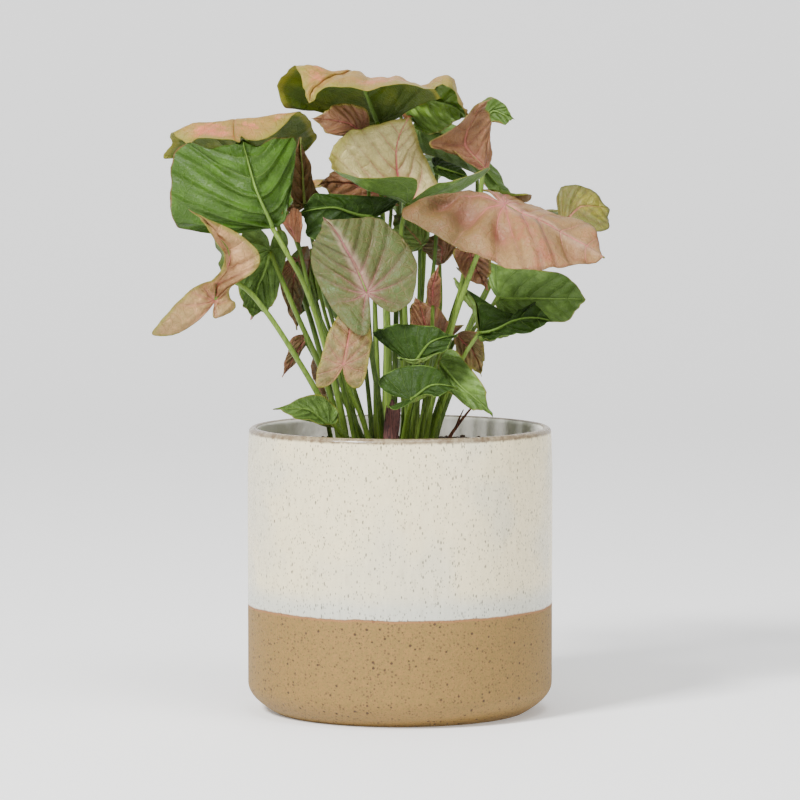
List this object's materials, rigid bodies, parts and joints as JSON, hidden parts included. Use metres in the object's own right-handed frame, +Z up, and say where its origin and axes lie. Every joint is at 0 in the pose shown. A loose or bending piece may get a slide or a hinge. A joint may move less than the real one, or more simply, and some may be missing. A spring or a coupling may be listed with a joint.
{
  "type": "potted arrowhead plant",
  "caption": "Arrowhead plant with pink and green arrow-shaped leaves on slender stalks, in a round ceramic planter glazed above and bare clay below.",
  "frame": {"origin": "middle of the flat underside of the planter", "axes": "+Z up out of the planter, -Y towards the side that the large front leaves face, +X to that side's right"},
  "size_m": [0.2201, 0.1859, 0.3151],
  "materials": {
    "glaze": "grey-cream glaze with fine dark specks, and bare buff clay below the glaze line",
    "compost": "dark crumbly potting compost",
    "leaf_pink": "satin leaf, salmon pink with pink veins above and olive green below",
    "leaf_green": "satin leaf, mid green with a pale midrib below",
    "leaf_sage": "satin leaf, cream to sage green with pink veins",
    "leaf_copper": "satin young leaf, copper brown",
    "dry_sheath": "dry papery pink-brown",
    "dry_wood": "dry, rough"
  },
  "bodies": {
    "root": {"planter": "glaze", "soil": "compost", "basal_sheath": "dry_sheath", "dry_twig": "dry_wood", "leaf_top_hood": "leaf_pink", "leaf_top_fold": "leaf_green", "leaf_left_big": "leaf_green", "leaf_left_hood": "leaf_pink", "leaf_cream": "leaf_sage", "leaf_right_big": "leaf_pink", "leaf_right_curl": "leaf_sage", "leaf_front_curl": "leaf_pink", "leaf_front_heart": "leaf_sage", "leaf_front_arrow": "leaf_pink", "leaf_right_peak": "leaf_pink", "leaf_peak_back": "leaf_green", "leaf_right_drape": "leaf_green", "leaf_mid_dark": "leaf_green", "leaf_mid_shelf": "leaf_green", "leaf_top_small": "leaf_pink", "leaf_mid_orange": "leaf_pink", "leaf_left_hanging": "leaf_green", "leaf_left_brown": "leaf_copper", "leaf_mid_brown": "leaf_copper", "leaf_right_bud": "leaf_pink", "leaf_mid_young": "leaf_copper", "leaf_mid_copper": "leaf_copper", "leaf_rolled": "leaf_copper", "leaf_left_copper": "leaf_copper", "leaf_left_dark": "leaf_green", "leaf_left_sliver": "leaf_copper", "leaf_right_low": "leaf_green", "leaf_right_bumpy": "leaf_green", "leaf_low_copper": "leaf_copper", "leaf_low_brown": "leaf_copper", "leaf_low_green": "leaf_green", "leaf_lowest_green": "leaf_green", "leaf_low_fold": "leaf_green", "leaf_rim_left": "leaf_green", "leaf_back_far_left": "leaf_pink", "leaf_back_high": "leaf_sage", "leaf_back_right": "leaf_pink", "leaf_back_low_right": "leaf_green", "leaf_back_middle": "leaf_sage", "leaf_back_low": "leaf_green", "leaf_back_low_left": "leaf_copper", "leaf_back_top": "leaf_pink"}
  },
  "joints": []
}
